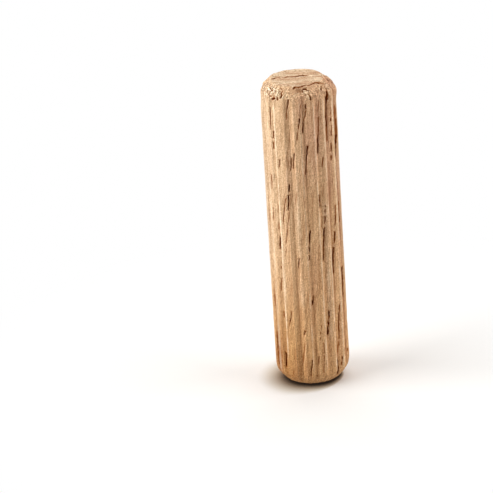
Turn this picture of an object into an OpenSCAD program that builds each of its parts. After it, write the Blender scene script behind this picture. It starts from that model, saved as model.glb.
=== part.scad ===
// Fluted dowel pin: one piece of straight-grained hardwood rod, drawn through a
// toothed die that presses the flutes in, cut to length and bevelled at both ends.
// It stands on its foot, with the origin in the middle of the foot's flat face.

/* [Rod] */
// Length of the pin, from the foot's face to the head's face
pin_len = 35; // [20:0.5:80]
// Diameter over the lands, which grip the bore
land_d = 8.1; // [7:0.1:12]

/* [Flutes] */
// Number of flutes around the rod
flute_count = 16; // [10:1:20]
// Width of a flute at its mouth
flute_w = 0.68; // [0.4:0.02:0.9]
// Depth of a flute below the lands
flute_depth = 0.25; // [0.1:0.01:0.4]
// How straight a flute's walls are: at 1 a plain V, below 1 the lands round over into it
wall_power = 0.75; // [0.6:0.05:1]

/* [Ends] */
// Diameter of the flat face at the head
head_face_d = 5.75; // [3:0.05:6.5]
// Length of the bevelled end at the head
head_bevel_len = 1.75; // [1:0.05:3]
// Diameter of the flat face at the foot
foot_face_d = 5.75; // [3:0.05:6.5]
// Length of the bevelled end at the foot
foot_bevel_len = 2; // [1:0.05:3]
// Radius of the soft shoulder between a bevel and the rod's side
shoulder_r = 1.7; // [0.3:0.05:2.5]

/* [Hidden] */

land_r = land_d / 2;
flute_pitch = 360 / flute_count;

// Turn of the first flute about the pin's axis, in degrees from +X
first_flute = -2.5;
// How far each flute stands off its even place, as a share of the pitch: the die's teeth
// and the give of the wood leave some lands wide and some narrow
FLUTE_STRAY = [0.47, 0.38, 0.29, 0.16, 0.09, -0.04, -0.13, -0.24,
               -0.38, -0.04, 0.07, 0.33, 0.31, 0.29, 0.13, 0.27];

// Flat steps up each wall of a flute, the last of which runs out through the land
wall_steps = 5;
// How far past its mouth a flute's cutter reaches, as a multiple of the half width
cutter_reach = 1.2;
// How far the flutes' cutters stand out of both ends
end_clear = 1;
// Steps round a full turn, on every round surface
round_steps = 180;

function flute_angle(i) = first_flute + (i + FLUTE_STRAY[i % len(FLUTE_STRAY)]) * flute_pitch;

// Radius of a flute's wall where t runs from 0 at the root to 1 at the mouth
function wall_r(t) = land_r - flute_depth * (1 - pow(t, wall_power));

// Point on the wall on one side of a flute that opens towards +X
function wall_point(t, side) =
    let (angle = t * side * asin(flute_w / land_d))
    wall_r(t) * [cos(angle), sin(angle)];

// Where a line from point p touches the circle of radius r about c, on the outer side
function touch_point(p, c, r) =
    let (
        to_centre = c - p,
        far = norm(to_centre),
        lean = atan2(to_centre.y, to_centre.x) - asin(r / far)
    )
    p + sqrt(far * far - r * r) * [cos(lean), sin(lean)];

// Section of one flute's cutter: two rounded-over walls that meet in a sharp root
module flute_section() {
    steps = [for (k = [1:wall_steps]) k / wall_steps * cutter_reach];
    right = [for (k = [wall_steps - 1:-1:0]) wall_point(steps[k], -1)];
    left = [for (t = steps) wall_point(t, 1)];
    polygon(concat(right, [wall_point(0, 1)], left));
}

// All the flutes, straight along the pin and longer than it, so that they run out in the bevels
module flutes() {
    for (i = [0:flute_count - 1])
        rotate(flute_angle(i))
            translate([0, 0, -end_clear])
                linear_extrude(pin_len + 2 * end_clear)
                    flute_section();
}

// Half section of one end, with its face on the X axis: a straight bevel from the face's edge,
// then a round shoulder that meets the rod's side at the bevel's length
module end_section(face_d, bevel_len) {
    round_r = min(shoulder_r, bevel_len);
    face_edge = [face_d / 2, 0];
    centre = [land_r - round_r, bevel_len];
    polygon([[0, 0], face_edge, touch_point(face_edge, centre, round_r), centre, [0, bevel_len]]);
    intersection() {
        translate(centre)
            circle(r = round_r, $fn = round_steps);
        translate([centre.x, 0])
            square([round_r, bevel_len]);
    }
}

// The rod with both of its ends bevelled, before the flutes
module bevelled_rod() {
    rotate_extrude($fn = round_steps)
        union() {
            end_section(foot_face_d, foot_bevel_len);
            translate([0, foot_bevel_len])
                square([land_r, pin_len - foot_bevel_len - head_bevel_len]);
            translate([0, pin_len])
                mirror([0, 1])
                    end_section(head_face_d, head_bevel_len);
        }
}

module dowel() {
    color([0.79, 0.61, 0.42])
        difference() {
            bevelled_rod();
            flutes();
        }
}

dowel();
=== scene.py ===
"""Fluted dowel pin of pale hardwood, standing on its foot on a plain white bench.

Sizes inside the functions are in millimetres and become metres when a mesh is made. Angles
round the pin are in degrees from its front, which faces -Y, and grow towards +X.
"""

import functools
import itertools
import math

import bpy
import numpy as np
from bpy.props import FloatProperty, FloatVectorProperty, IntProperty, PointerProperty
from bpy.types import NodeSocket, Operator, Panel, PropertyGroup
from mathutils import Matrix, Vector


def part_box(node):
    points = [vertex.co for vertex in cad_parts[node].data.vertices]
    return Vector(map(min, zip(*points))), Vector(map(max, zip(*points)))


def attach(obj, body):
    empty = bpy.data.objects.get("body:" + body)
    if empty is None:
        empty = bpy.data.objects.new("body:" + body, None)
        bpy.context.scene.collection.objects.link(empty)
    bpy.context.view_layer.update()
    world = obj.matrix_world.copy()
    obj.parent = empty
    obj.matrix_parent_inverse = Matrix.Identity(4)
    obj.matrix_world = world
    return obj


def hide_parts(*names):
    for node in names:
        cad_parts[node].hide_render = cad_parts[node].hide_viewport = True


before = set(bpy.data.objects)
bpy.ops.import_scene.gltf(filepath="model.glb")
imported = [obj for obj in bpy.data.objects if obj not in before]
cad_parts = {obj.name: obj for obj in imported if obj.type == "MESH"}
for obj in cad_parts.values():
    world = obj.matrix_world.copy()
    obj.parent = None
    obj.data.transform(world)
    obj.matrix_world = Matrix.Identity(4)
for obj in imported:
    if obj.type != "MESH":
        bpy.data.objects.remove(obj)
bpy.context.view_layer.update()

bl_info = {
    "name": "Fluted dowel pin",
    "version": (1, 0, 0),
    "blender": (4, 5, 0),
    "location": "View3D > Sidebar > Dowel pin",
    "description": "A fluted hardwood dowel pin with torn fibres, open pores and bevelled ends",
    "category": "Object",
}

MM = 0.001
FULL_TURN = 360.0
PIN_LOW, PIN_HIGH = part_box("dowel")
PIN_LENGTH = (PIN_HIGH.z - PIN_LOW.z) / MM
PIN_RADIUS = (PIN_HIGH.x - PIN_LOW.x) / 2 / MM
PIN_MIDDLE = Vector((0, 0, (PIN_LOW.z + PIN_HIGH.z) / 2))


# ---------------------------------------------------------------- small tools


def linear(code):
    """Linear RGB of an sRGB hex colour: each channel c becomes ((c + 0.055) / 1.055) to the
    power 2.4, or c / 12.92 where it is very dark."""
    channels = [int(code[i:i + 2], 16) / 255 for i in (1, 3, 5)]
    return tuple(c / 12.92 if c <= 0.04045 else ((c + 0.055) / 1.055) ** 2.4 for c in channels)


def ease(share):
    """0 below 0 and 1 above 1, with a soft start and end: 3 s squared less 2 s cubed between."""
    s = np.clip(share, 0.0, 1.0)
    return s * s * (3.0 - 2.0 * s)


def hump(value, centre, reach):
    """A bell: e to the minus of the distance from the centre, over the reach, squared."""
    return np.exp(-np.square((value - centre) / reach))


def turn_between(angle, centre):
    """The turn from centre to angle in degrees, the short way round, from -180 to 180."""
    return (angle - centre + FULL_TURN / 2) % FULL_TURN - FULL_TURN / 2


def patch(angle, height, centre, level, turn, reach):
    """A round patch of the surface: a bell of the angle, whose reach "turn" is in degrees,
    times a bell of the height, whose reach is in millimetres."""
    return hump(turn_between(angle, centre), 0, turn) * hump(height, level, reach)


NOISE_PERIOD = 64


def noise(seed, *coords):
    """Smooth noise from -1 to 1: seeded random numbers at the whole-number points, eased
    together between neighbours along each coordinate. It repeats every NOISE_PERIOD."""
    table = np.random.default_rng(seed).uniform(-1.0, 1.0, (NOISE_PERIOD,) * len(coords))
    coords = np.broadcast_arrays(*coords)
    cells = [np.floor(c).astype(int) for c in coords]
    shares = [ease(c - k) for c, k in zip(coords, cells)]
    total = np.zeros(coords[0].shape)
    for corner in itertools.product((0, 1), repeat=len(coords)):
        weight = 1.0
        for bit, share in zip(corner, shares):
            weight = weight * (share if bit else 1.0 - share)
        place = tuple((k + bit) % NOISE_PERIOD for k, bit in zip(cells, corner))
        total += weight * table[place]
    return total


def wander(seed, run, middle, swing):
    """A share from 0 to 1 that wanders along a run: the middle plus the swing times noise."""
    return np.clip(middle + swing * noise(seed, run), 0, 1)


def add_node(tree, kind, inputs=None, out=0, stops=(), **settings):
    """Adds a shader node, sets its attributes and returns one of its outputs, if it has any.
    Inputs and the output go by name or number. An input is linked where it is given a socket
    and set where it is given a value. Stops are a colour ramp's, from the lowest up: (place,
    level), where a level is a grey or a colour."""
    made = tree.nodes.new("ShaderNode" + kind)
    for name, value in settings.items():
        setattr(made, name, value)
    for key, value in (inputs or {}).items():
        socket = made.inputs[key]
        if isinstance(value, NodeSocket):
            tree.links.new(value, socket)
        else:
            socket.default_value = (*value, 1) if socket.type == "RGBA" else value
    if stops:
        band = made.color_ramp.elements
        for element, (place, _) in zip(band, stops):
            element.position = place
        for place, _ in stops[len(band):]:
            band.new(place)
        for element, (_, level) in zip(band, stops):
            element.color = (*level, 1) if isinstance(level, tuple) else (level, level, level, 1)
    return made.outputs[out] if made.outputs else None


def new_mesh_object(name, points, quads, triangles):
    """A mesh object at the origin from points in millimetres and arrays of corner numbers."""
    mesh = bpy.data.meshes.new(name)
    mesh.from_pydata((points * MM).tolist(), [], quads.tolist() + triangles.tolist())
    mesh.validate()
    mesh.shade_smooth()
    made = bpy.data.objects.new(name, mesh)
    bpy.context.scene.collection.objects.link(made)
    return made


def give_attribute(made, name, values):
    """Stores one number for each vertex as a named attribute that the material reads."""
    attribute = made.data.attributes.new(name, "FLOAT", "POINT")
    attribute.data.foreach_set("value", values.astype(np.float32).ravel())


# ---------------------------------------------------------------- settings


def length_setting(name, description, default, low, high):
    """A length that the user can change, given here in millimetres."""
    return FloatProperty(name=name, description=description, default=default * MM,
                         min=low * MM, max=high * MM, precision=5, unit="LENGTH")


def angle_setting(name, description, default, low, high):
    """An angle that the user can change, given here in degrees."""
    return FloatProperty(name=name, description=description, default=math.radians(default),
                         min=math.radians(low), max=math.radians(high), subtype="ANGLE")


def strength_setting(name, description, default, high):
    """A power or a strength that the user can change, from 0 up."""
    return FloatProperty(name=name, description=description, default=default, min=0.0, max=high)


def colour_setting(name, description, code):
    """A colour that the user can change, given here as an sRGB hex value."""
    return FloatVectorProperty(name=name, description=description, default=linear(code),
                               size=3, min=0.0, max=1.0, subtype="COLOR")


class DowelSizes(PropertyGroup):
    """Sizes of the pin and of what shows on it."""

    length: length_setting("Length", "From the foot's face to the head's face",
                           PIN_LENGTH, 20, 80)
    land_d: length_setting("Land diameter", "Diameter over the lands between the flutes",
                           8.1, 5, 12)
    head_face_d: length_setting("Head face", "Diameter of the flat face at the head", 5.75, 3, 8)
    head_bevel: length_setting("Head bevel", "Length of the bevelled end at the head", 1.75, 1, 3)
    foot_face_d: length_setting("Foot face", "Diameter of the flat face at the foot", 5.75, 3, 8)
    foot_bevel: length_setting("Foot bevel", "Length of the bevelled end at the foot", 2, 1, 3)
    shoulder: length_setting("Shoulder radius", "Radius between a bevel and the side",
                             1.7, 0.3, 2.5)
    flutes: IntProperty(
        name="Flutes", description="Number of flutes round the pin", default=16, min=8, max=24)
    flute_depth: length_setting("Flute depth", "Depth of a flute below the lands",
                                0.25, 0.1, 0.5)
    grain_tilt: angle_setting("Grain tilt", "Lean of the fibres from the pin's axis, towards +X",
                              9, 0, 20)
    pore_depth: length_setting("Pore depth", "Depth of the open pores where the rod was cut",
                               0.16, 0, 0.3)


class DowelColours(PropertyGroup):
    """Colours of the wood."""

    pale: colour_setting("Pale wood", "The lighter streaks along the grain", "#E8C097")
    deep: colour_setting("Deep wood", "The darker streaks along the grain", "#CDA075")
    rosy: colour_setting("Rosy wood", "The pinkish patches", "#D6A282")
    # The golden tinge is painted warm bounce light and shade: it darkens and warms the wood towards
    # the foot
    golden_bounce: colour_setting("Golden tinge", "Multiplies the wood's colour towards the foot",
                           "#F6EAD4")
    pore: colour_setting("Pore", "The bottoms of the open pores", "#501A00")
    # The thread colour also paints the shade in the flutes' roots
    thread: colour_setting("Thread", "The fine pores and dark threads along the grain",
                           "#904F1C")
    end_grain: colour_setting("End grain", "The sawn faces across the fibres", "#E3C6A3")
    end_dots: colour_setting("End grain pores", "The pores where they show end on", "#9A6E46")


class StageSettings(PropertyGroup):
    """The camera, the lamps and the bench."""

    camera_distance: length_setting("Camera distance", "From the camera to the pin's middle",
                                    391.6, 100, 2000)
    camera_rise: angle_setting("Camera elevation", "The camera's angle above the bench",
                               22.13, 0, 90)
    camera_roll: angle_setting("Camera roll", "The camera's turn about its own axis",
                               -3.62, -30, 30)
    camera_lens: FloatProperty(
        name="Focal length", description="Focal length in millimetres on a 36 mm sensor",
        default=261.5, min=20.0, max=400.0)
    pin_right: length_setting("Pin right of centre", "How far right of the frame's centre it is",
                              6.43, -50, 50)
    pin_up: length_setting("Pin above centre", "How far above the frame's centre it is",
                           2.01, -50, 50)
    key_power: strength_setting("Left lamp", "Power of the large soft lamp at the left, in watts",
                                2.05, 50)
    fill_power: strength_setting("Right lamp", "Power of the soft lamp at the right, in watts",
                                 1.25, 50)
    top_power: strength_setting("Top lamp", "Power of the soft lamp above and behind, in watts",
                                1.15, 50)
    sky: strength_setting("Surrounding light", "Strength of the even light from all round",
                          0.175, 2)
    bench: colour_setting("Bench", "Colour of the bench as it lights the pin", "#CFCBC4")


# ---------------------------------------------------------------- the pin's plain form

COLUMNS_PER_FLUTE = 24
# Spacing of the rows in millimetres along the half section: foot face, foot bevel, side,
# head bevel and head face
ROW_SPACING = [0.24, 0.09, 0.2, 0.075, 0.085]
# Points along the arc of a shoulder
ARC_STEPS = 40
# How softly the edges are worn round, in millimetres: everywhere, at the edge of the foot's
# face, and how far this reaches from there
EDGE_SOFTNESS = 0.07
FOOT_SOFTNESS = 0.16
FOOT_SOFT_REACH = 1.0
# The window over which the outline is averaged: its half width in softnesses, and its samples
WINDOW_HALF = 2
WINDOW_STEPS = 17

# Angle of the first flute, and how far each one stands off its even place, as a share of the
# pitch, as in the solid
FIRST_FLUTE = 87.5
FLUTE_STRAY = [0.47, 0.38, 0.29, 0.16, 0.09, -0.04, -0.13, -0.24, -0.38, -0.04, 0.07, 0.33, 0.31,
               0.29, 0.13, 0.27]


def flute_angles(count):
    """Angle of each flute's root: an even place round the turn plus its stray."""
    stray = np.resize(FLUTE_STRAY, count)
    return (FIRST_FLUTE + (np.arange(count) + stray) * FULL_TURN / count) % FULL_TURN


def column_angles(count):
    """Angles of the grid's columns: the same number from each flute's root to the next, so
    that every root lies on a column and stays sharp."""
    roots = np.sort(flute_angles(count))
    spans = np.diff(np.append(roots, roots[0] + FULL_TURN))
    share = np.arange(COLUMNS_PER_FLUTE) / COLUMNS_PER_FLUTE
    return (roots[:, None] + spans[:, None] * share).ravel() % FULL_TURN


def end_section(face_r, bevel, land_r, shoulder):
    """Points (radius, distance from the face) of one end, from the face's edge: a straight
    line that meets the shoulder's arc at a tangent, then the arc up to the side."""
    round_r = min(shoulder, bevel)
    edge = np.array([face_r, 0.0])
    centre = np.array([land_r - round_r, bevel])
    away = centre - edge
    far = np.hypot(*away)
    lean = math.atan2(away[1], away[0]) - math.asin(round_r / far)
    touch = edge + math.sqrt(far**2 - round_r**2) * np.array([math.cos(lean), math.sin(lean)])
    start = math.atan2(touch[1] - centre[1], touch[0] - centre[0])
    turn = np.linspace(start, 0.0, ARC_STEPS)
    arc = centre + round_r * np.stack([np.cos(turn), np.sin(turn)], axis=1)
    return np.vstack([edge, arc])


def half_section(sizes):
    """Rows (radius, height) of the pin's half section from the foot's middle to the head's,
    evenly spaced along each of its five stretches, with the faces' edges worn round: each
    row is the mean of the outline over a short bell-shaped window. Also their normals."""
    land_r = sizes.land_d / 2 / MM
    length = sizes.length / MM
    foot = end_section(sizes.foot_face_d / 2 / MM, sizes.foot_bevel / MM, land_r,
                       sizes.shoulder / MM)
    head = end_section(sizes.head_face_d / 2 / MM, sizes.head_bevel / MM, land_r,
                       sizes.shoulder / MM)[::-1] * [1, -1] + [0, length]
    outline = np.vstack([[0, 0], foot, head, [0, length]])
    run = np.append(0, np.cumsum(np.hypot(*np.diff(outline, axis=0).T)))
    corners = run[[0, 1, len(foot), len(foot) + 1, len(foot) + len(head), -1]]
    stops = [np.arange(1, round((b - a) / gap) + 1) / round((b - a) / gap) * (b - a) + a
             for a, b, gap in zip(corners[:-1], corners[1:], ROW_SPACING)]
    place = np.concatenate(stops)[:-1]
    window = np.linspace(-WINDOW_HALF, WINDOW_HALF, WINDOW_STEPS)
    weight = hump(window, 0, 1)
    weight /= weight.sum()
    near_foot = hump(place, corners[1], FOOT_SOFT_REACH)[:, None]
    softness = EDGE_SOFTNESS + (FOOT_SOFTNESS - EDGE_SOFTNESS) * near_foot
    around = np.clip(place[:, None] + window * softness, 0, run[-1])
    radius = (np.interp(around, run, outline[:, 0]) * weight).sum(axis=1)
    height = (np.interp(around, run, outline[:, 1]) * weight).sum(axis=1)
    along = np.gradient(np.stack([radius, height], axis=1), axis=0)
    along /= np.linalg.norm(along, axis=1)[:, None]
    normal = np.stack([along[:, 1], -along[:, 0]], axis=1)
    return radius, height, normal


def pin_faces(rows, columns):
    """Faces of the closed grid, whose columns go round: quads between neighbouring points,
    and a fan at each end. The foot's pole is the point after the grid's last, and the head's
    the one after that."""
    number = np.arange(rows * columns).reshape(rows, columns)
    beside = np.roll(number, -1, axis=1)
    quads = np.stack([number[:-1], beside[:-1], beside[1:], number[1:]], axis=-1).reshape(-1, 4)
    foot_pole, head_pole = rows * columns, rows * columns + 1
    fans = np.vstack([
        np.stack([np.full(columns, foot_pole), beside[0], number[0]], axis=-1),
        np.stack([np.full(columns, head_pole), number[-1], beside[-1]], axis=-1),
    ])
    return quads, fans


# ---------------------------------------------------------------- flutes

# Reach of each flute's left and right wall in millimetres, and its depth as a share
FLUTE_LEFT = [0.5, 0.55, 0.45, 0.6, 0.5, 0.6, 0.5, 0.45, 0.6, 0.5, 0.5, 0.55, 0.26, 0.34, 0.4, 0.6]
FLUTE_RIGHT = [0.5, 0.5, 0.6, 0.5, 0.6, 0.45, 0.6, 0.5, 0.5, 0.4, 0.3, 0.5, 0.46, 0.64, 0.75, 0.5]
FLUTE_SHARE = [1, 1.1, 0.9, 1.2, 1.3, 0.9, 1.1, 1.1, 1.2, 1.1, 0.8, 0.9, 0.85, 0.95, 1.15, 0.85]
# A flute's depth swells and shrinks along it: by what share, over steps of how many millimetres
DEPTH_VARIES = 0.2
DEPTH_STEP = 7
DEPTH_SEED = 40
# Share of its depth that a flute keeps on the bevels, and where this fades: distance from the
# face and length of the fade in millimetres
FOOT_KEEP = 0.9
FOOT_FADE = (0.25, 1.1)
HEAD_KEEP = 0.3
HEAD_FADE = (0.7, 0.6)
# Raised lip of pressed-up wood along both edges of a flute, in millimetres: height, distance
# outside the wall, reach, how far below the lands a bevel has lost it, and its fade before that
LIP_HEIGHT = 0.028
LIP_OUT = 0.05
LIP_REACH = 0.11
LIP_LOST = 0.6
LIP_FADE = 0.4
# Strength of the painted shade along each flute's root, its reach in millimetres, the share of the
# depth from which it is whole, and how it wanders: middle, swing and step in millimetres
FLUTE_ROOT_SHADE = [0.5, 0.4, 0.6, 0.7, 0.5, 0.4, 0.6, 0.5, 0.6, 0.3, 0.05, 0, 0.1, 0.05, 0.2, 0.8]
ROOT_SHADE_REACH = 0.22
ROOT_SHADE_DEPTH = 0.5
ROOT_SHADE_WANDER = (0.8, 0.5)
ROOT_SHADE_STEP = 2.5
ROOT_SHADE_SEED = 70
# Distance from the nearest root, in reaches, where no flute is near
NO_ROOT = 3.0


def flute_cut(angle, height, radius, sizes):
    """How deep the flutes cut below the unfluted section in millimetres, the height of the lips
    beside them, the distance from the nearest root in reaches, and the painted shade along the
    roots. Across a flute the depth is 1 - distance / reach. Along it, the root keeps its distance
    from the axis and so runs out in a bevel, but the pressed wood keeps a share of the depth there,
    which fades before the end's face."""
    land_r = sizes.land_d / 2 / MM
    length = sizes.length / MM
    depth = sizes.flute_depth / MM
    below = land_r - radius[:, None]
    kept = ((FOOT_KEEP + (HEAD_KEEP - FOOT_KEEP) * ease(height - length / 2))
            * ease((height - FOOT_FADE[0]) / FOOT_FADE[1])
            * ease((length - HEAD_FADE[0] - height) / HEAD_FADE[1]))[:, None]
    cut = np.zeros((len(height), len(angle)))
    lip = np.zeros_like(cut)
    stain = np.zeros_like(cut)
    root_off = np.full_like(cut, NO_ROOT)
    has_lip = ease((LIP_LOST - below) / LIP_FADE)
    lists = [np.resize(each, sizes.flutes)
             for each in (FLUTE_LEFT, FLUTE_RIGHT, FLUTE_SHARE, FLUTE_ROOT_SHADE)]
    flutes = zip(flute_angles(sizes.flutes), *lists)
    for i, (root, left, right, share, root_shaded) in enumerate(flutes):
        off = np.radians(turn_between(angle, root)) * land_r
        reach = np.where(off < 0, left, right)
        swell = 1 + DEPTH_VARIES * noise(DEPTH_SEED + i, height / DEPTH_STEP)[:, None]
        wall = depth * share * swell * np.clip(1 - np.abs(off) / reach, 0, 1)
        cut = np.maximum(cut, np.maximum(wall - below, wall * kept))
        lip = np.maximum(lip, LIP_HEIGHT * has_lip * hump(np.abs(off), reach + LIP_OUT, LIP_REACH))
        root_off = np.minimum(root_off, np.abs(off) / reach)
        patchy = wander(ROOT_SHADE_SEED + i, height / ROOT_SHADE_STEP, *ROOT_SHADE_WANDER)[:, None]
        in_flute = np.clip(cut / depth / ROOT_SHADE_DEPTH, 0, 1)
        stain = np.maximum(stain, root_shaded * patchy * hump(off, 0, ROOT_SHADE_REACH) * in_flute)
    return cut, lip, root_off, stain


# ---------------------------------------------------------------- pores and lips

# Open pores on the front, placed one by one: angle and height of the upper end, angle and height of
# the lower end, width in millimetres and darkness
FRONT_PORES = [
    (10.5, 33.3, 9.8, 32.7, 0.16, 0.9), (9.5, 32.6, 8, 31.75, 0.15, 0.6),
    (7, 31.75, 4.6, 31.2, 0.14, 0.45), (4.4, 31.2, 4, 30.7, 0.16, 0.6), (4, 30.7, 3, 30, 0.17, 0.9),
    (2.3, 33.3, 0.4, 31.8, 0.14, 0.5), (0.2, 31.8, -1, 31.2, 0.18, 0.9),
    (10.3, 28.6, 8.3, 27.6, 0.19, 1.0), (8.3, 27.6, 4, 25.2, 0.16, 0.95),
    (32, 33.4, 30.5, 31.6, 0.14, 0.35), (30.5, 31.6, 29, 29.6, 0.2, 0.5),
    (28.5, 29.6, 26.5, 27.4, 0.17, 0.8), (35, 27, 32, 25.7, 0.15, 0.6),
    (56.3, 31, 55.7, 30.55, 0.2, 0.75), (57.2, 30.1, 56.3, 29.6, 0.19, 0.75),
    (56.3, 29.6, 55.7, 28.9, 0.19, 0.7), (54.5, 28.1, 54, 27.1, 0.22, 0.62),
    (53, 26.8, 53, 26.1, 0.2, 0.58), (76, 32, 75, 30.4, 0.3, 0.5),
    (77, 30.4, 75.5, 28.6, 0.45, 0.8), (75.5, 28.6, 73, 27.5, 0.4, 0.95),
    (73, 27.5, 70.5, 26.2, 0.4, 1.0), (73, 20.9, 72.5, 18.4, 0.26, 0.6),
    (82, 17, 80, 16.1, 0.4, 0.6), (49.3, 32.9, 49, 32.6, 0.24, 1),
    (49.1, 32.8, 48.6, 31.8, 0.22, 1), (48.6, 31.8, 48, 31, 0.22, 1), (48, 31, 47.3, 30, 0.2, 0.95),
    (47.3, 30, 47.5, 28.4, 0.2, 0.55), (57.5, 32.1, 56.5, 31.3, 0.18, 0.6),
    (-16.3, 33.9, -18.3, 33.2, 0.2, 0.75), (-18.3, 33.2, -20.2, 32.6, 0.16, 0.65),
    (-20.2, 32.6, -21.7, 31.6, 0.14, 0.5), (-50.5, 32.7, -51, 32, 0.15, 0.7),
    (-51, 32, -52, 30.1, 0.14, 0.5), (-48, 30, -48, 29.65, 0.2, 0.95),
    (-48, 29.5, -48, 29.2, 0.2, 0.85), (-48.5, 28.8, -49, 27.9, 0.2, 0.5),
    (-35.5, 27, -38, 26, 0.17, 0.75), (-11.3, 27.8, -12.8, 26.9, 0.17, 1),
    (-12.8, 26.9, -14, 26, 0.14, 0.7), (-16.8, 27.2, -19.3, 25.7, 0.13, 0.6),
    (-20.8, 27, -22.8, 26, 0.12, 0.3), (-2, 31.2, -3.2, 30.5, 0.15, 0.65),
    (-4.6, 30.2, -6, 29.3, 0.15, 0.6), (-6.5, 29.8, -9, 28.6, 0.12, 0.35),
    (-56, 24.9, -57.5, 23.1, 0.24, 0.55), (6.5, 19.4, 6.5, 19.2, 0.18, 0.8),
    (6.5, 18.8, 4, 17.2, 0.17, 0.9), (3.5, 17, 3.2, 16.2, 0.16, 0.9), (3, 15.9, 3, 15.3, 0.16, 0.8),
    (25, 22.75, 25, 22.4, 0.24, 1), (25, 22.25, 24.7, 21.8, 0.26, 1),
    (25, 21.6, 25.6, 21.2, 0.23, 1), (34, 21.4, 34, 21.1, 0.16, 0.7),
    (33.5, 20.85, 33.5, 20.45, 0.16, 0.75), (33, 20.1, 32, 19.2, 0.18, 0.7),
    (31.5, 18.8, 29.5, 17.7, 0.2, 0.85), (29.5, 17.7, 28, 16.4, 0.18, 0.7),
    (28, 16.4, 27, 15.7, 0.15, 0.6), (27, 15.7, 26.5, 14.9, 0.17, 0.85),
    (19, 17.2, 16, 14, 0.12, 0.3), (56, 21, 55.5, 19.8, 0.22, 0.6),
    (55.5, 19.8, 54, 18.5, 0.22, 0.65), (52.5, 17.9, 50.5, 16.5, 0.24, 0.75),
    (49.2, 16.1, 47.5, 15.3, 0.28, 0.9), (47.5, 15.3, 46.2, 14.5, 0.28, 1),
    (46.4, 14.5, 45.6, 13, 0.24, 0.8), (73.3, 13.1, 72.8, 11, 0.4, 1.0),
    (72.8, 11, 73, 9.6, 0.36, 0.75), (-22.5, 24.2, -24, 23.3, 0.18, 0.95),
    (-24.5, 22.9, -25.4, 22.1, 0.2, 1.0), (-25.4, 22.1, -26.6, 21.1, 0.2, 1.0),
    (-29.5, 22.6, -32, 21.5, 0.15, 0.5), (-32, 21.5, -35.5, 20.15, 0.17, 0.7),
    (-35.5, 20.15, -37, 19.4, 0.14, 0.5), (-25, 21, -29, 18.9, 0.13, 0.6),
    (-29, 18.9, -33.5, 17.2, 0.13, 0.65), (-33.5, 16.8, -35, 15.6, 0.11, 0.4),
    (-56, 21.1, -58, 19.6, 0.15, 0.6), (-48, 19.4, -48.5, 18.5, 0.18, 0.38),
    (-47, 17.7, -47.5, 16.3, 0.17, 0.85), (-48, 14.25, -48, 14, 0.16, 0.8),
    (-49, 12.9, -50, 11.3, 0.14, 0.5), (-13, 15.6, -15, 14.4, 0.16, 0.9),
    (-11.5, 23.3, -13.5, 21.8, 0.12, 0.35), (6, 11.1, 5, 10.6, 0.18, 0.6),
    (5, 10.6, 3.6, 10, 0.22, 1.0), (31.2, 9, 31.2, 8.2, 0.2, 0.95),
    (30.2, 8.2, 30.2, 8, 0.18, 0.85), (29.3, 7.65, 29.3, 7.3, 0.2, 0.95),
    (28.5, 7.2, 27.2, 6.1, 0.22, 1), (16, 7.5, 16, 7.2, 0.14, 0.7),
    (13.5, 6.8, 13.5, 6.4, 0.13, 0.6), (13.3, 6.1, 13, 5.8, 0.15, 0.7),
    (18.5, 5.5, 18, 4, 0.11, 0.5), (18, 4, 17, 3, 0.11, 0.5), (17, 3, 16, 1.8, 0.11, 0.45),
    (10, 3.9, 8.5, 2.8, 0.13, 0.6), (29.5, 4.2, 29.5, 4, 0.15, 0.6),
    (5.5, 1.5, 5.5, 1.3, 0.15, 0.5), (54.3, 9.2, 52.9, 8.4, 0.2, 0.65),
    (52.9, 8.4, 51.5, 7.3, 0.2, 0.7), (51.5, 7.3, 50.7, 6.1, 0.2, 0.7),
    (50.7, 6.1, 49.9, 5.1, 0.19, 0.5), (49.7, 5, 48.7, 4.2, 0.19, 0.45),
    (53.8, 3, 53.8, 2.6, 0.2, 0.8), (52.8, 2.4, 51.8, 1.95, 0.2, 0.75),
    (44.5, 2.9, 48, 0.8, 0.19, 1), (47, 4.6, 46, 3.4, 0.2, 0.5),
    (-48.5, 8.9, -48.5, 8.2, 0.17, 0.7), (-30.6, 9.2, -32.6, 8.5, 0.14, 0.75),
    (-32.6, 8.5, -34.5, 7.9, 0.15, 0.8), (-34.5, 7.9, -37, 7.3, 0.13, 0.5),
    (-11, 7, -11, 6.5, 0.18, 1.0), (-54, 5.7, -54, 5.5, 0.16, 0.6), (-48.5, 4, -49, 3.1, 0.19, 1),
    (-49, 3.1, -49.5, 2.2, 0.18, 0.9), (-56, 3.95, -56, 3.75, 0.18, 0.5),
    (-57, 3.5, -57, 3.3, 0.18, 0.5), (-58, 2.9, -58, 2.7, 0.18, 0.5),
    (-11, 5.5, -13.5, 4.5, 0.15, 0.4), (-13.5, 4.5, -17.5, 3, 0.16, 0.4),
    (-1, 3.5, -2.5, 2.7, 0.15, 0.85), (-2.5, 2.7, -4, 2.1, 0.15, 0.85),
    (-4, 2.1, -4.5, 1.5, 0.14, 0.7), (-9.5, 1.5, -9.5, 1.3, 0.15, 0.4),
    (-32, 2.2, -35, 1.5, 0.14, 0.4), (-35, 1.5, -38, 1.2, 0.14, 0.35),
    (-74.5, 5.9, -74.5, 3.6, 0.26, 0.65), (-74.5, 3.6, -73.5, 1.9, 0.26, 0.6),
    (-74.5, 10.9, -74.5, 8.9, 0.24, 0.4), (-75, 20.9, -75, 17.4, 0.18, 0.3),
    (78, 3.3, 77, 2.9, 0.34, 0.5),
]
# Pits in the head's bevel, in the same order
HEAD_PITS = [
    (61.9, 33.65, 66.5, 32.74, 0.16, 0.4), (50.7, 33.4, 49, 32.8, 0.3, 1.0),
    (51.5, 33.35, 56, 33.1, 0.18, 0.8), (120, 34.3, 119, 33.9, 0.3, 0.8),
    (163, 34.5, 162, 34.2, 0.24, 0.7), (205, 34.1, 204, 33.7, 0.3, 0.9),
    (248, 34.5, 247, 34.1, 0.24, 0.8), (275, 34.2, 274, 33.9, 0.22, 0.7),
]
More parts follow.
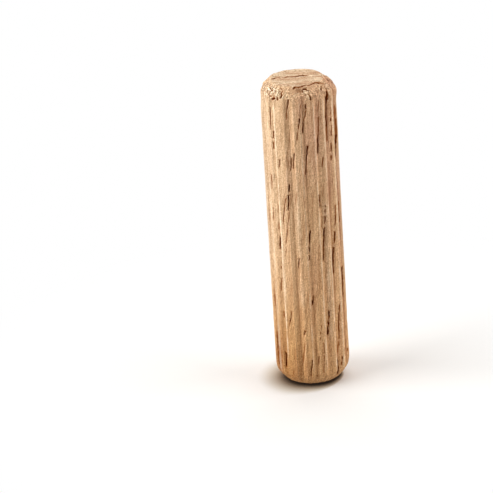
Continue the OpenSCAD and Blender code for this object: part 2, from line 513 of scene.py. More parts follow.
# Lips of raised pale fibres round the flutes' ends and in the torn wood, in the same order; their
# pale colour is partly painted highlight
RAISED_LIPS = [
    (-21.6, 34.47, -27.5, 33.8, 0.16, 1.0), (-21.6, 34.47, -14.4, 33.85, 0.16, 0.8),
    (10.5, 34.7, 11, 34.35, 0.13, 0.5), (11, 34.35, 17.2, 33.7, 0.13, 0.7),
    (-12, 27.8, -19, 27.2, 0.14, 0.7), (-24, 24, -27.5, 22.4, 0.13, 0.6),
    (21.5, 21.9, 21.5, 21.5, 0.2, 0.9), (56, 3, 56, 1.6, 0.16, 0.8),
    (20, 5.5, 17.6, 1.8, 0.12, 0.3), (-9.5, 5.3, -14.5, 3, 0.14, 0.3),
    (118, 34.6, 112, 34, 0.16, 0.9), (168, 34.5, 172, 34, 0.16, 0.8),
    (212, 34.5, 208, 34, 0.16, 0.9), (252, 34.6, 256, 34.1, 0.16, 0.8),
]
# Random pores: how many, their seed, how many degrees from the front they start, and the
# ranges of their length, width and darkness. Some are round the back, and fine ones all round
BACK_PORES = (110, 5, 84, (1.2, 5.0), (0.1, 0.17), (0.3, 0.8))
FINE_PORES = (420, 6, 0, (0.8, 4.0), (0.1, 0.15), (0.08, 0.26))
# Their least distance from the foot and from the head in millimetres, the share of its length
# that a pore has at the pin's sides, and the range of its lean as a share of the fibres'
PORES_ABOVE_FOOT = 0.8
PORES_BELOW_HEAD = 1.4
SHORTEST_PORE = 0.3
PORE_LEAN = (0.8, 1.3)

# How far a mark eases in before and after its ends, in millimetres, and its tips' width as a
# share of its middle's
MARK_END = 0.12
TIP_WIDTH = 0.55
# In half widths: where a mark ends to each side, the fade before that, the reach of the score
# by which the nearest mark is chosen, and the reach of a pore's hollow and of a lip's ridge
MARK_EDGE = 2.5
EDGE_FADE = 0.5
SCORE_REACH = 1.5
MARK_ROUND = 0.8
# How far a noise shakes a mark's line and over what steps, in millimetres, and how far along
# the noise each mark is from the last
SHAKE = 0.035
SHAKE_STEP = 0.45
SHAKE_APART = 7.7
# The second noise breaks a mark up: the most that is lost of one at least BREAK_LENGTH long,
# and the steps as above
BREAK_MOST = 0.7
BREAK_LENGTH = 4
BREAK_STEP = 0.6
BREAK_APART = 5.3
PORE_NOISE_SEED = 11
LIP_NOISE_SEED = 13
# The normal's outward share from which pores are whole; they fade as it turns along the pin
PORE_FACING = 0.5


def slanting_marks(marks, angle, height, radius, seed):
    """Where a set of slanting marks lies on the side and the bevels. A mark follows the
    straight line between its ends on the unrolled surface, shaken by noise, and narrows to
    both ends. At each point this gives the distance across the nearest mark in half widths,
    and that mark's strength there, which eases in and out along it, is broken up by a second
    noise and is 0 beyond MARK_EDGE half widths."""
    off = np.full((len(height), len(angle)), MARK_EDGE)
    level = np.zeros_like(off)
    best = np.zeros_like(off)
    for i, (top_angle, top, low_angle, low, width, strength) in enumerate(marks):
        rows = np.flatnonzero((height > low - MARK_END) & (height < top + MARK_END))
        if len(rows) == 0:
            continue
        z = height[rows][:, None]
        row_r = radius[rows][:, None]
        line = low_angle + (top_angle - low_angle) * (z - low) / (top - low)
        shake = SHAKE * noise(seed, z / SHAKE_STEP + SHAKE_APART * i)
        line = line + np.degrees(shake) / row_r
        ends = (ease((z - low + MARK_END) / (2 * MARK_END))
                * ease((top + MARK_END - z) / (2 * MARK_END)))
        half = width / 2 * (TIP_WIDTH + (1 - TIP_WIDTH) * ends)
        across = np.radians(turn_between(angle[None, :], line)) * row_r / half
        lost = wander(seed + 1, z / BREAK_STEP + BREAK_APART * i, 0, BREAK_MOST)
        lost = lost * min(1, (top - low) / BREAK_LENGTH)
        here = strength * ends * (1 - lost) * ease((MARK_EDGE - np.abs(across)) / EDGE_FADE)
        score = here * hump(across, 0, SCORE_REACH)
        nearer = score > best[rows]
        best[rows] = np.where(nearer, score, best[rows])
        off[rows] = np.where(nearer, across, off[rows])
        level[rows] = np.where(nearer, here, level[rows])
    return off, level


def scattered_pores(count, seed, front, lengths, widths, strengths, sizes):
    """A list of random pores. Their slant follows the tilted fibres: tan(tilt) times the
    cosine of the angle, over the radius. A cut vessel is long where the fibres run along the
    surface and short where they dive into it. None lies within "front" degrees of the front."""
    rng = np.random.default_rng(seed)
    land_r = sizes.land_d / 2 / MM
    slope = math.degrees(math.tan(sizes.grain_tilt) / land_r)
    middle = rng.uniform(front, FULL_TURN - front, count)
    height = rng.uniform(PORES_ABOVE_FOOT, sizes.length / MM - PORES_BELOW_HEAD, count)
    facing = np.cos(np.radians(middle))
    shorter = SHORTEST_PORE + (1 - SHORTEST_PORE) * facing**2
    half = rng.uniform(*lengths, count) * shorter / 2
    lean = slope * facing * half * rng.uniform(*PORE_LEAN, count)
    width = rng.uniform(*widths, count)
    strength = rng.uniform(*strengths, count)
    return list(zip(middle + lean, height + half, middle - lean, height - half, width, strength))


def pores_and_lips(angle, height, radius, side, sizes):
    """The open pores, some listed and some drawn at random, and the lips of raised fibres: distance
    across the nearest pore in half widths, its strength, and the strength of the lips."""
    pores = FRONT_PORES + HEAD_PITS
    pores += scattered_pores(*BACK_PORES, sizes)
    pores += scattered_pores(*FINE_PORES, sizes)
    pore_off, pore = slanting_marks(pores, angle, height, radius, PORE_NOISE_SEED)
    lip_off, lips = slanting_marks(RAISED_LIPS, angle, height, radius, LIP_NOISE_SEED)
    return pore_off, pore * ease(side / PORE_FACING), lips * hump(lip_off, 0, MARK_ROUND)


# ---------------------------------------------------------------- marks on the head

# Tears in the head's bevel, at any slant: angle and height of both ends, width in millimetres
# and darkness
HEAD_TEARS = [
    (-46.5, 33.65, -40.5, 33.85, 0.24, 1.0), (-44, 33.7, -44, 33.35, 0.13, 0.6),
    (-44, 34.05, -43.5, 33.85, 0.14, 0.6), (-35, 33.92, -34.5, 33.78, 0.18, 1.0),
    (-37.5, 34.1, -35.5, 33.95, 0.12, 0.6), (-30, 34.4, -28.5, 34.2, 0.17, 0.9),
    (-28.5, 34.2, -29.5, 34, 0.18, 1.0), (-29.5, 34.6, -30.5, 34.4, 0.14, 0.6),
    (-36.5, 34.85, -38, 34.65, 0.13, 0.45), (-36.5, 34.85, -31, 34.7, 0.13, 0.45),
    (-52, 34.45, -50.5, 34.5, 0.2, 0.7), (-59, 34.6, -57.5, 34.55, 0.15, 0.7),
    (-67.5, 34.85, -61, 34.7, 0.14, 0.4), (-54.5, 34.15, -52, 33.95, 0.13, 0.6),
    (-52, 33.95, -48, 33.95, 0.13, 0.65), (-67.5, 34.25, -64, 34.1, 0.12, 0.45),
    (-45, 34.5, -41.5, 34.3, 0.1, 0.4), (-25.5, 34.3, -25.5, 34.45, 0.11, 0.4),
    (10, 34.75, 15, 34.75, 0.18, 1.0), (15, 34.75, 16, 34.65, 0.12, 0.5),
    (10, 34.75, 7.5, 34.55, 0.13, 0.6), (7.5, 34.55, 9, 34.4, 0.12, 0.5),
    (11.5, 34.25, 12.5, 34.2, 0.15, 0.8), (17, 34.25, 18.5, 34, 0.13, 0.7),
    (18.5, 34, 18.5, 33.7, 0.17, 1.0), (48, 34.6, 48.5, 34.6, 0.17, 1.0),
    (44, 34.45, 42.5, 34.35, 0.22, 0.95), (38.5, 34.45, 36, 34.3, 0.1, 0.4),
    (54.5, 34.5, 55, 34.35, 0.12, 0.5), (55, 34.25, 53, 34, 0.18, 0.6),
    (52.5, 34, 51.3, 33.7, 0.24, 1.0), (51.3, 33.6, 50, 33.35, 0.32, 1.0),
    (-10.5, 34.4, -8.5, 34.4, 0.12, 0.4), (100, 34.85, 82, 34.6, 0.26, 0.32),
    (90, 34.8, 74, 34.35, 0.2, 0.3), (78, 34.75, 68, 34.3, 0.18, 0.25),
    (98, 34.6, 84, 34.2, 0.24, 0.3), (76, 34.2, 70, 33.7, 0.18, 0.25),
]
# Flecks of raised pale fibre among them, in the same order; their pale colour is partly painted
# highlight
HEAD_FLECKS = [
    (-40.5, 34.55, -35.5, 34.25, 0.24, 0.9), (-35.5, 34.25, -33, 33.95, 0.22, 1.0),
    (-55.5, 34.6, -54.5, 34.6, 0.15, 0.8), (-56, 34.45, -55, 34.45, 0.14, 0.8),
    (-63, 34.9, -60.5, 34.85, 0.14, 0.7), (-78, 34.25, -74.5, 34.15, 0.2, 0.6),
    (-63, 34.25, -60, 34.05, 0.12, 0.6), (-49, 33.75, -49, 33.85, 0.15, 0.7),
    (-39, 33.9, -39.5, 33.6, 0.14, 0.9), (-23, 34.5, -22, 34.4, 0.16, 0.9),
    (-28, 34.4, -27.5, 34.35, 0.14, 0.8), (-25, 34.2, -27.5, 33.85, 0.15, 0.9),
    (-22, 34.5, -21.5, 34.7, 0.12, 0.5), (-9.5, 34.97, -11.5, 34.9, 0.16, 0.9),
    (-6, 34.3, -8, 34.2, 0.13, 0.6), (-2, 34.45, 0, 34.45, 0.13, 0.8),
    (-16, 34, -14.5, 33.75, 0.12, 0.4), (13, 34.65, 13.5, 34.6, 0.15, 0.6),
    (6.5, 34.45, 8, 34.4, 0.13, 0.8), (12.5, 34.45, 15.5, 33.95, 0.13, 0.7),
    (41, 34.5, 39, 34.35, 0.12, 0.8), (51.5, 33.1, 51.5, 32.95, 0.13, 0.7),
    (56, 33.85, 55, 33.6, 0.16, 0.5),
]
# Cracks in the head's face: both ends (x, y), width and darkness
FACE_CRACKS = [
    (-1.3, 0.15, -1, 0.35, 0.3, 0.5), (-1, 0.35, -0.5, 0.4, 0.34, 0.6),
    (-0.5, 0.4, 0, 0.42, 0.34, 0.75), (0, 0.45, 0.25, 0.55, 0.37, 1.0),
    (0.25, 0.56, 0.7, 0.57, 0.38, 1.1), (0.8, 0.55, 1.05, 0.5, 0.3, 0.6),
    (0.5, -0.05, 0.9, -0.15, 0.18, 0.4), (-2.65, -0.05, -2.35, 0.15, 0.26, 0.7),
    (-2.2, 0.45, -1.9, 0.35, 0.3, 0.5), (-1.25, 2.35, -1.1, 2.4, 0.26, 0.5),
    (-0.75, 2.65, -0.55, 2.7, 0.26, 0.4), (0.4, 2.2, 0.6, 2.1, 0.22, 0.5),
    (2.65, -0.25, 2.95, -0.75, 0.3, 0.4), (3.05, 0.45, 3.25, -0.1, 0.26, 0.4),
    (3.3, -0.15, 3.5, -0.4, 0.26, 0.4), (0.65, -1, 1.15, -1.2, 0.16, 0.3),
    (-1.08, -2.42, -0.9, -2.45, 0.18, 0.5),
]
# The torn line along the front of the face's rim: points (x, y) and its darkness at each
RIM_LINE = [
    (-0.45, -3, 0.5), (-0.35, -2.9, 0.75), (-0.15, -2.85, 0.75), (0.05, -2.95, 0.6),
    (0.35, -2.85, 0.7), (0.75, -2.5, 0.95), (1.15, -2.6, 0.7), (1.45, -2.4, 0.8), (1.6, -2.25, 0.9),
    (1.9, -1.98, 1.0), (2.25, -1.95, 0.8), (2.45, -1.8, 0.55), (2.85, -1.65, 0.4),
]
RIM_WIDTH = 0.26
# How far below the head's face the strokes reach, how far their outlines are shaken, and the
# grain of that, in millimetres
HEAD_REACH = 3.0
STROKE_SHAKE = 0.035
STROKE_GRAIN = 0.14
STROKE_SEED = 61
# Small enough not to show: it keeps heights rising and a stroke's length above 0
TINY = 1e-6


def head_strokes(strokes, points, radius, height):
    """Strength of short strokes on the head. A stroke joins two points of the surface and is
    a bell of the distance from that line, which a noise shakes. Its ends are given either by
    angle and height, or by (x, y) as seen from above, marked by a leading "top"."""
    up = height > height[-1] - HEAD_REACH
    rising = height[up] + np.arange(up.sum()) * TINY
    found = np.zeros(points.shape[:-1])
    spot = points[up]
    grains = np.moveaxis(spot / STROKE_GRAIN, -1, 0)
    shake = np.stack([noise(STROKE_SEED + k, *grains) for k in range(3)], axis=-1)
    spot = spot + STROKE_SHAKE * shake
    best = found[up]
    for kind, *ends, width, strength in strokes:
        line = []
        for first, second in (ends[:2], ends[2:]):
            if kind == "top":
                r = math.hypot(first, second)
                line.append([first, second, np.interp(r, radius[up][::-1], height[up][::-1])])
            else:
                r = np.interp(second, rising, radius[up])
                turn = math.radians(first)
                line.append([r * math.sin(turn), -r * math.cos(turn), second])
        start, end = np.array(line)
        run = end - start
        share = np.clip((spot - start) @ run / max(run @ run, TINY), 0, 1)
        gap = np.linalg.norm(spot - start - share[..., None] * run, axis=-1)
        best = np.maximum(best, strength * hump(gap, 0, width / 2))
    found[up] = best
    return found


def cracks_and_flecks(points, radius, height):
    """The dark cracks and tears of the head, and its pale raised flecks."""
    rim = [(*start[:2], *end[:2], RIM_WIDTH, end[2])
           for start, end in zip(RIM_LINE, RIM_LINE[1:])]
    dark = [("top", *one) for one in FACE_CRACKS + rim] + [("side", *one) for one in HEAD_TEARS]
    pale = [("side", *one) for one in HEAD_FLECKS]
    return [head_strokes(strokes, points, radius, height) for strokes in (dark, pale)]


# ---------------------------------------------------------------- patches and crests

# Torn and crushed fibres on the head's bevel: angle, height, reach in degrees, reach in
# millimetres and strength of each patch
TORN_PATCHES = [
    (-54, 34.35, 16, 0.5, 0.85), (-36, 34.3, 8, 0.45, 0.75), (46, 34.4, 6, 0.3, 0.5),
    (14, 34.6, 9, 0.25, 0.6), (66, 34.4, 8, 0.4, 0.5), (-80, 34.4, 12, 0.4, 0.7),
    (92, 34.3, 16, 0.6, 0.32), (118, 34.2, 14, 0.5, 0.8), (165, 34.3, 12, 0.4, 0.6),
    (208, 34.2, 14, 0.5, 0.9), (250, 34.3, 10, 0.5, 0.7),
]
# Pinkish patches of the wood, in the same order
ROSY_PATCHES = [
    (24, 30, 8, 4.5, 0.85), (12, 29.5, 8, 3.5, 0.6), (4, 26, 5, 2.5, 0.4), (45, 24, 8, 7, 0.6),
    (2, 33, 9, 2.5, 0.5), (74, 22, 7, 5, 0.7), (90, 34.3, 24, 0.9, 0.75), (62, 16, 6, 6, 0.4),
    (8, 12, 7, 5, 0.35), (-24, 25, 5, 4, 0.3), (-58, 27, 7, 4, 0.4), (100, 14, 12, 9, 0.7),
    (140, 26, 10, 7, 0.6), (172, 10, 9, 7, 0.8), (200, 27, 12, 8, 0.6), (235, 14, 9, 8, 0.7),
    (268, 25, 9, 7, 0.5),
]
# Brown patches, in the same order: partly darker wood where the rod was cut through it, and partly
# painted shade, at the foot's lower left and in the shaded walls of some flutes
UMBER_AND_SHADE_PATCHES = [
    (75, 30.5, 5, 2.5, 0.8), (71, 26.7, 3.5, 1.6, 0.6), (69, 20, 2.5, 4, 0.5),
    (69.5, 8, 3, 4, 0.45), (-71, 4, 4, 2.6, 0.9), (-71, 10.5, 3, 2, 0.8), (49.5, 30, 4.5, 5, 0.4),
    (48.5, 23, 4.5, 4, 0.42), (48, 15, 4.5, 4, 0.4), (48, 3, 5, 3, 0.2), (-65, 2.6, 10, 3.2, 1.0),
    (-62, 18, 4, 3.5, 0.12), (-28, 2, 11, 2.2, 0.4), (-10, 2, 8, 2, 0.26), (6, 32.5, 9, 1.5, 0.15),
    (28, 28, 24, 3, 0.12), (92, 34.3, 22, 0.6, 0.46), (102, 34.9, 12, 0.25, 0.5),
    (20, 34.72, 8, 0.2, 0.3), (38, 34.65, 8, 0.2, 0.25), (2, 33.6, 5, 0.5, 0.26),
    (-10, 33.5, 5, 0.5, 0.2), (-28, 34.65, 7, 0.3, 0.2), (64, 33.4, 10, 0.7, 0.2),
    (-60, 34.1, 34, 0.8, 0.25), (42, 34.2, 26, 0.7, 0.21), (-60, 32.5, 9, 1.6, 0.14),
    (-14, 32.5, 9, 1.8, 0.14), (14, 3, 22, 3, 0.12), (46, 11.5, 4, 2.4, 0.4), (79, 20, 8, 7, 0.32),
    (71.5, 20, 3.5, 2.5, 0.55), (71.5, 11.5, 3.5, 2.5, 0.5), (71.5, 7.5, 3.5, 2.5, 0.45),
    (71, 3.8, 3.5, 2.2, 0.6), (-83, 2.6, 11, 3.2, 0.6), (-75, 3, 6, 3, 0.7),
    (-63, 3.3, 3, 2.6, 0.5), (-40.3, 7, 1.8, 5.5, 0.18), (79, 15, 4, 5, 0.3), (110, 22, 5, 5, 0.5),
    (156, 9, 5, 5, 0.6), (198, 20, 5, 6, 0.5), (246, 12, 5, 5, 0.6),
]
# Greyer patches, in the same order: painted sheen at the pin's left and right edges as seen from
# its front, and plain greyer wood round the back
SHEEN_AND_GREY_PATCHES = [
    (-81, 30, 9, 5, 0.7), (-81, 24, 9, 6, 0.7), (-81, 17, 9, 6, 0.6), (81, 21, 8, 7, 0.4),
    (150, 22, 12, 9, 0.4), (214, 9, 12, 8, 0.4),
]
# How the patches of the side lean with the grain, at the front, in degrees per millimetre
PATCH_LEAN = 1.6
# Broad tones of the side: height where one starts and where it is whole, its angle and its reach in
# degrees. Painted shade, a deeper amber, at the foot's left, and a painted whitish sheen up the lit
# left side
FOOT_SHADE_TONE = (17, 2, -52, 42)
# A painted whitish sheen up the lit left side, whole from 21 mm up
LEFT_SHEEN_TONE = (3, 21, -58, 32)
# Painted highlights along crests, straight along the pin: angle, upper and lower end, reach in
# millimetres and strength
CREST_HIGHLIGHTS = [
    (-43, 33.5, 3, 0.14, 1.0), (-62, 34, 1, 0.2, 0.4), (0.3, 33.8, 1.5, 0.08, 0.45),
    (22, 33.8, 1.5, 0.09, 0.55), (39.7, 33.8, 1.2, 0.1, 0.75), (61.5, 34, 16, 0.11, 0.75),
    (58, 16, 1.5, 0.11, 0.7), (-43, 23, 8.5, 0.26, 0.65), (-12, 26, 9, 0.3, 0.4),
    (33, 22, 5, 0.2, 0.3), (84, 33, 2, 0.14, 0.5), (130, 33, 2, 0.14, 0.5), (176, 33, 2, 0.14, 0.5),
    (222, 33, 2, 0.14, 0.5), (267, 33, 2, 0.14, 0.5),
]
# Lengths over which a crest eases in at its lower and its upper end, the middle and swing of
# its wander, and the step of that in millimetres
CREST_EASE_LOW = 1.5
CREST_EASE_TOP = 0.8
CREST_WANDER = (0.75, 0.6)
CREST_STEP = 1.3
CREST_SEED = 90


def patches_mask(patches, angle, height, lean=0.0):
    """The strongest of the patches' bells at each point. A patch leans by that many degrees
    per millimetre at the front, and less towards the pin's sides, by the cosine."""
    found = np.zeros((len(height), len(angle)))
    rows = height[:, None]
    for centre, level, turn, reach, strength in patches:
        shift = lean * math.cos(math.radians(centre)) * (rows - level)
        found = np.maximum(found, strength * patch(angle, rows, centre + shift, level, turn, reach))
    return found


def broad_tone(angle, height, start, whole, centre, turn):
    """A broad tone of the side: an ease along the pin times a bell round it."""
    along = ease((height - start) / (whole - start))[:, None]
    return along * hump(turn_between(angle, centre), 0, turn)[None, :]


def crest_highlight_mask(angle, height):
    """The painted highlights along the crests: a bell across each, eased in and out along it and
    broken up.
    """
    found = np.zeros((len(height), len(angle)))
    for i, (centre, top, low, reach, strength) in enumerate(CREST_HIGHLIGHTS):
        off = np.radians(turn_between(angle, centre)) * PIN_RADIUS
        along = ease((height - low) / CREST_EASE_LOW) * ease((top - height) / CREST_EASE_TOP)
        along = along * wander(CREST_SEED + i, height / CREST_STEP, *CREST_WANDER)
        found = np.maximum(found, strength * along[:, None] * hump(off, 0, reach)[None, :])
    return found


# ---------------------------------------------------------------- the pin's surface

# Noises of the surface: seed, size of their grains in three directions and height, all in
# millimetres. The die's scratches run along the pin, the fibres lean, and grit is on the faces
SCRATCHES = [(51, 0.3, 0.3, 18, 0.013), (52, 0.15, 0.15, 9, 0.011)]
FIBRES = [(53, 0.34, 0.34, 5.5, 0.007), (54, 0.15, 0.15, 1.6, 0.012)]
GRIT = [(55, 0.5, 0.16, 0.2, 0.02)]
# The shredded fibres of the torn wood, whose height is TORN_HEIGHT
SHRED = [(31, 0.12, 0.12, 0.26, 1.0), (32, 0.09, 0.09, 0.16, 0.5)]
TORN_HEIGHT = 0.13
CRACK_DEPTH = 0.14
RAISED_HEIGHT = 0.07
# Crushed wood all round the bevels: how torn it is, and the distances from the face in
# millimetres over which this fades out at the foot and at the head
FOOT_CRUSHED = (0.12, 0.4, 1.4)
HEAD_CRUSHED = (0.25, 1.6, 0.8)
# The hollow below the front of the head's rim: angle, distance below the face, reach in degrees and
# reach in millimetres, and its depth. The material also darkens it with painted shade
RIM_HOLLOW = (4, 0.35, 13, 0.3)
RIM_HOLLOW_DEPTH = 0.14
# Where the bevels stand a little prouder or lower than a true turning: angle, height, reach
# in degrees, reach in millimetres and how far out. Towards the axis, from CALM_RADIUS, it fades
FULLER = [
    (85, 1.4, 35, 0.7, -0.04), (-90, 33, 25, 0.9, -0.08), (80, 33.4, 30, 0.75, 0.14),
    (96, 34.6, 30, 0.5, -0.12), (-112, 34.95, 18, 0.3, 0.1), (178, 34.95, 22, 0.4, -0.05),
    (82, 29, 25, 3.5, 0.05),
]
CALM_RADIUS = 2.4
# How far the foot's edge is worn in, and the reach of the wear, in millimetres
FOOT_WEAR = 0.14
WEAR_REACH = 0.3
# The normal's outward share below which all is end grain, and over which it fades above that
END_GRAIN_FACING = 0.12
END_GRAIN_FADE = 0.5


def relief(rows, x, y, z):
    """The sum of some noises, each of the place divided by its grains' size."""
    return sum(height * noise(seed, x / size_x, y / size_y, z / size_z)
               for seed, size_x, size_y, size_z, height in rows)


def torn_mask(angle, height, side, length):
    """Where the fibres are torn: in the patches, and a little all round both bevels."""
    strength, whole, fade = FOOT_CRUSHED
    crushed = strength * (1 - ease((height - whole) / fade))
    strength, start, fade = HEAD_CRUSHED
    crushed = crushed + strength * ease((height - length + start) / fade)
    return np.maximum(patches_mask(TORN_PATCHES, angle, height), crushed[:, None] * side)


def uneven_form(angle, height, flat_r, foot_r):
    """How far the pin stands out from a true turning: the bulges and flats of its bevels,
    which fade towards the axis, less the wear of the foot's edge."""
    rows = height[:, None]
    out = np.zeros_like(flat_r)
    for centre, level, turn, reach, far in FULLER:
        out += far * patch(angle, rows, centre, level, turn, reach)
    out *= ease(flat_r / CALM_RADIUS)
    return out - FOOT_WEAR * hump(flat_r, foot_r, WEAR_REACH) * hump(rows, 0, WEAR_REACH)


def dowel_surface(sizes):
    """The whole pin as one closed surface over angle and distance along the half section.
    The point is the section's point turned to its angle, moved in by the flutes along the
    radius, and in or out along the section's normal by the die's scratches, the fibres'
    relief, the pores, the cracks, the torn fibres, the lips and the uneven bevels. Returns
    points, faces and the masks that the material reads."""
    angle = column_angles(sizes.flutes)
    radius, height, normal = half_section(sizes)
    length = sizes.length / MM
    turn = np.radians(angle)
    side = np.abs(normal[:, 0:1])
    flat_r = radius[:, None] * np.ones_like(turn)
    x, y = flat_r * np.sin(turn), -flat_r * np.cos(turn)
    z = height[:, None] + np.zeros_like(x)
    tilt = sizes.grain_tilt
    along = x * math.sin(tilt) + z * math.cos(tilt)
    across = x * math.cos(tilt) - z * math.sin(tilt)

    cut, lip, root_off, stain = flute_cut(angle, height, radius, sizes)
    pore_off, pore, lips = pores_and_lips(angle, height, radius, side, sizes)
    cracks, flecks = cracks_and_flecks(np.stack([x, y, z], axis=-1), radius, height)
    raised = np.maximum(lips, flecks)
    torn = torn_mask(angle, height, side, length)
    shred = relief(SHRED, across, y, along)
    centre, below, hollow_turn, reach = RIM_HOLLOW
    rim_hollow = patch(angle, height[:, None], centre, length - below, hollow_turn, reach)

    move = (relief(SCRATCHES, x, y, z) * side + relief(FIBRES, across, y, along) * side
            + relief(GRIT, x, y, z) * (1 - side)
            - sizes.pore_depth / MM * (pore * hump(pore_off, 0, MARK_ROUND))
            - CRACK_DEPTH * cracks + TORN_HEIGHT * torn * shred
            - RIM_HOLLOW_DEPTH * rim_hollow
            + lip + RAISED_HEIGHT * raised
            + uneven_form(angle, height, flat_r, sizes.foot_face_d / 2 / MM))
    r_out = flat_r - cut + move * normal[:, 0:1]
    z_out = z + move * normal[:, 1:2]
    points = np.stack([r_out * np.sin(turn), -r_out * np.cos(turn), z_out], axis=-1)
    poles = [[0, 0, points[0, :, 2].mean()], [0, 0, points[-1, :, 2].mean()]]

    masks = {
        "pore": pore,
        "pore_off": pore_off,
        "cracks": cracks,
        "root_off": root_off,
        # Painted shade along the flutes' roots
        "stain": stain,
        "torn": torn,
        "end_grain": 1 - ease((side - END_GRAIN_FACING) / END_GRAIN_FADE) + np.zeros_like(x),
        "shred": shred,
        "lip": lip / LIP_HEIGHT,
        "raised": raised,
        "rim_hollow": rim_hollow,
        # Painted shade at the foot's left
        "amber": broad_tone(angle, height, *FOOT_SHADE_TONE),
        # Painted sheen up the lit left side
        "paler": broad_tone(angle, height, *LEFT_SHEEN_TONE),
        "rosy": patches_mask(ROSY_PATCHES, angle, height, PATCH_LEAN),
        # Brown patches: partly darker wood, partly painted shade
        "umber": patches_mask(UMBER_AND_SHADE_PATCHES, angle, height, PATCH_LEAN),
        # Painted sheen at the pin's edges, and greyer wood round the back
        "dusty": patches_mask(SHEEN_AND_GREY_PATCHES, angle, height, PATCH_LEAN),
        # Painted highlights along the crests
        "crest": crest_highlight_mask(angle, height),
    }
    masks = {name: np.append(field.ravel(), [field[0].mean(), field[-1].mean()])
             for name, field in masks.items()}
    return np.vstack([points.reshape(-1, 3), poles]), *pin_faces(*cut.shape), masks


# ---------------------------------------------------------------- the wood

# Noises of the wood: size of their grains across and along the fibres in millimetres, detail
# and roughness. Real fibres are a few hundredths of a millimetre wide, and the finest noises
# are drawn coarser, as coarse as they need to show
NOISES = {
    "streaks": (0.5, 9.0, 3.0, 0.55),
    "fine": (0.14, 3.0, 2.0, 0.55),
    "patches": (3.2, 16.0, 1.0, 0.55),
    "ragged": (0.12, 0.7, 2.0, 0.7),
    "die_lines": (0.15, 16.0, 2.0, 0.6),
    "fuzz": (0.13, 1.8, 2.0, 0.6),
    "pepper": (0.09, 0.12, 1.0, 0.55),
    "crumbs": (0.15, 0.15, 1.0, 0.55),
}
# Those that run straight along the pin and not along the tilted fibres
STRAIGHT = ("die_lines",)
# Ramps that turn a level into a share: (level, share) at each stop
RAMPS = {
    "streaks": [(0.08, 0.0), (0.92, 1.0)],
    "patches": [(0.5, 0.0), (0.7, 1.0)],
    "fine": [(0.3, 1.0), (0.6, 0.0)],
    "bands": [(0.42, 1.0), (0.57, 0.0)],
    "dots": [(0.18, 1.0), (0.4, 0.0)],
    "ripped_in_shade": [(0.1, 0.0), (0.42, 1.0)],
    "ripped_out_highlight": [(0.08, 0.0), (0.4, 1.0)],
    "wall_top_highlight": [(0.85, 0.0), (1.0, 1.0), (1.0, 0.0)],
    "chaff": [(0.0, 0.0), (0.3, 1.0)],
    "roughness": [(0.3, 0.58), (0.7, 0.74)],
}
# Tones of the pores and cracks: stops over the distance from a pore's middle in half widths,
# over the pore's strength and over a crack's strength
PORE_TONES = {
    "brown": ([(0.75, 1.0), (1.0, 0.0)], [(0.06, 0.0), (0.5, 1.0)], [(0.1, 0.0), (0.45, 1.0)]),
    "dark": ([(0.55, 1.0), (1.0, 0.0)], [(0.35, 0.0), (0.85, 1.0)], [(0.42, 0.0), (0.75, 1.0)]),
}
# Tints that a noise multiplies the wood's colour by, as factors for red, green and blue: how
# far below and above the middle it has them in full, the low tint and the high one
TINTS = {
    "die_lines": (0.21, (0.8, 0.74, 0.68), (1.17, 1.23, 1.28)),
    "fuzz": (0.25, (0.8, 0.74, 0.68), (1.17, 1.23, 1.28)),
    "pepper": (0.16, (0.7, 0.64, 0.58), (1.26, 1.33, 1.4)),
    "crumbs": (0.1, (0.5, 0.44, 0.38), (1.4, 1.46, 1.52)),
}
# Levels of the ragged noise, and the half widths by which it moves a pore's edge either way
RAGGED_LEVELS = (0.25, 0.75)
RAGGED_SHIFT = 0.45
# The share of that by which it moves the top of a flute's wall
WALL_RAGGED = 0.3
# Heights in millimetres where the golden tinge, a painted warm bounce light and shade, starts and
# where it is whole
GOLDEN_BOUNCE_FROM = 27
GOLDEN_BOUNCE_TO = 2
# Fine pores: size of a cell across and along the fibres in millimetres, a shift that keeps
# the kinds apart, and a core's thickness as a share of its cell
VESSELS = [(0.2, 8.0, 3.0, 0.24), (0.15, 4.0, 9.0, 0.3)]
# The share of the cells that have one, and the most that it shows
VESSEL_SHARE = 0.4
VESSEL_MOST = 0.5
# End grain, in millimetres along x, y and z: spacing of the pores and size of the bands, and
# the bands' noise
DOT_SIZE = (0.26, 0.22, 3.0)
BAND_SIZE = (3.0, 0.35, 3.0)
BAND_NOISE = {"Scale": 1.0, "Detail": 3.0, "Roughness": 0.6}
# How much deeper a fine pore is than the fibres' relief, the strength of the relief and its
# height in millimetres
THREAD_DEPTH = 1.2
BUMP_STRENGTH = 0.8
BUMP_HEIGHT = 0.06
# Dry, unfinished wood: the index of wood's cell walls and the share of their gloss that shows
WOOD_IOR = 1.5
WOOD_GLOSS = 0.3
# Numbers of a Mix node's sockets for colours, which share their names with those for numbers
MIX_SHARE, MIX_UNDER, MIX_OVER, MIX_RESULT = 0, 6, 7, 2


def per_mm(*sizes):
    """The scale of a pattern whose grains have those sizes in millimetres."""
    return tuple(1 / MM / size for size in sizes)


def lay(tree, under, layers):
    """Lays tones over a colour, one after another. A layer is the socket that says where it
    shows, or None for everywhere, its greatest share, its colour and its blend."""
    for where, most, colour, blend in layers:
        share = most
        if where is not None:
            share = add_node(tree, "Math", {0: where, 1: most}, operation="MULTIPLY")
        under = add_node(tree, "Mix", {MIX_SHARE: share, MIX_UNDER: under, MIX_OVER: colour},
                         MIX_RESULT, data_type="RGBA", blend_type=blend)
    return under


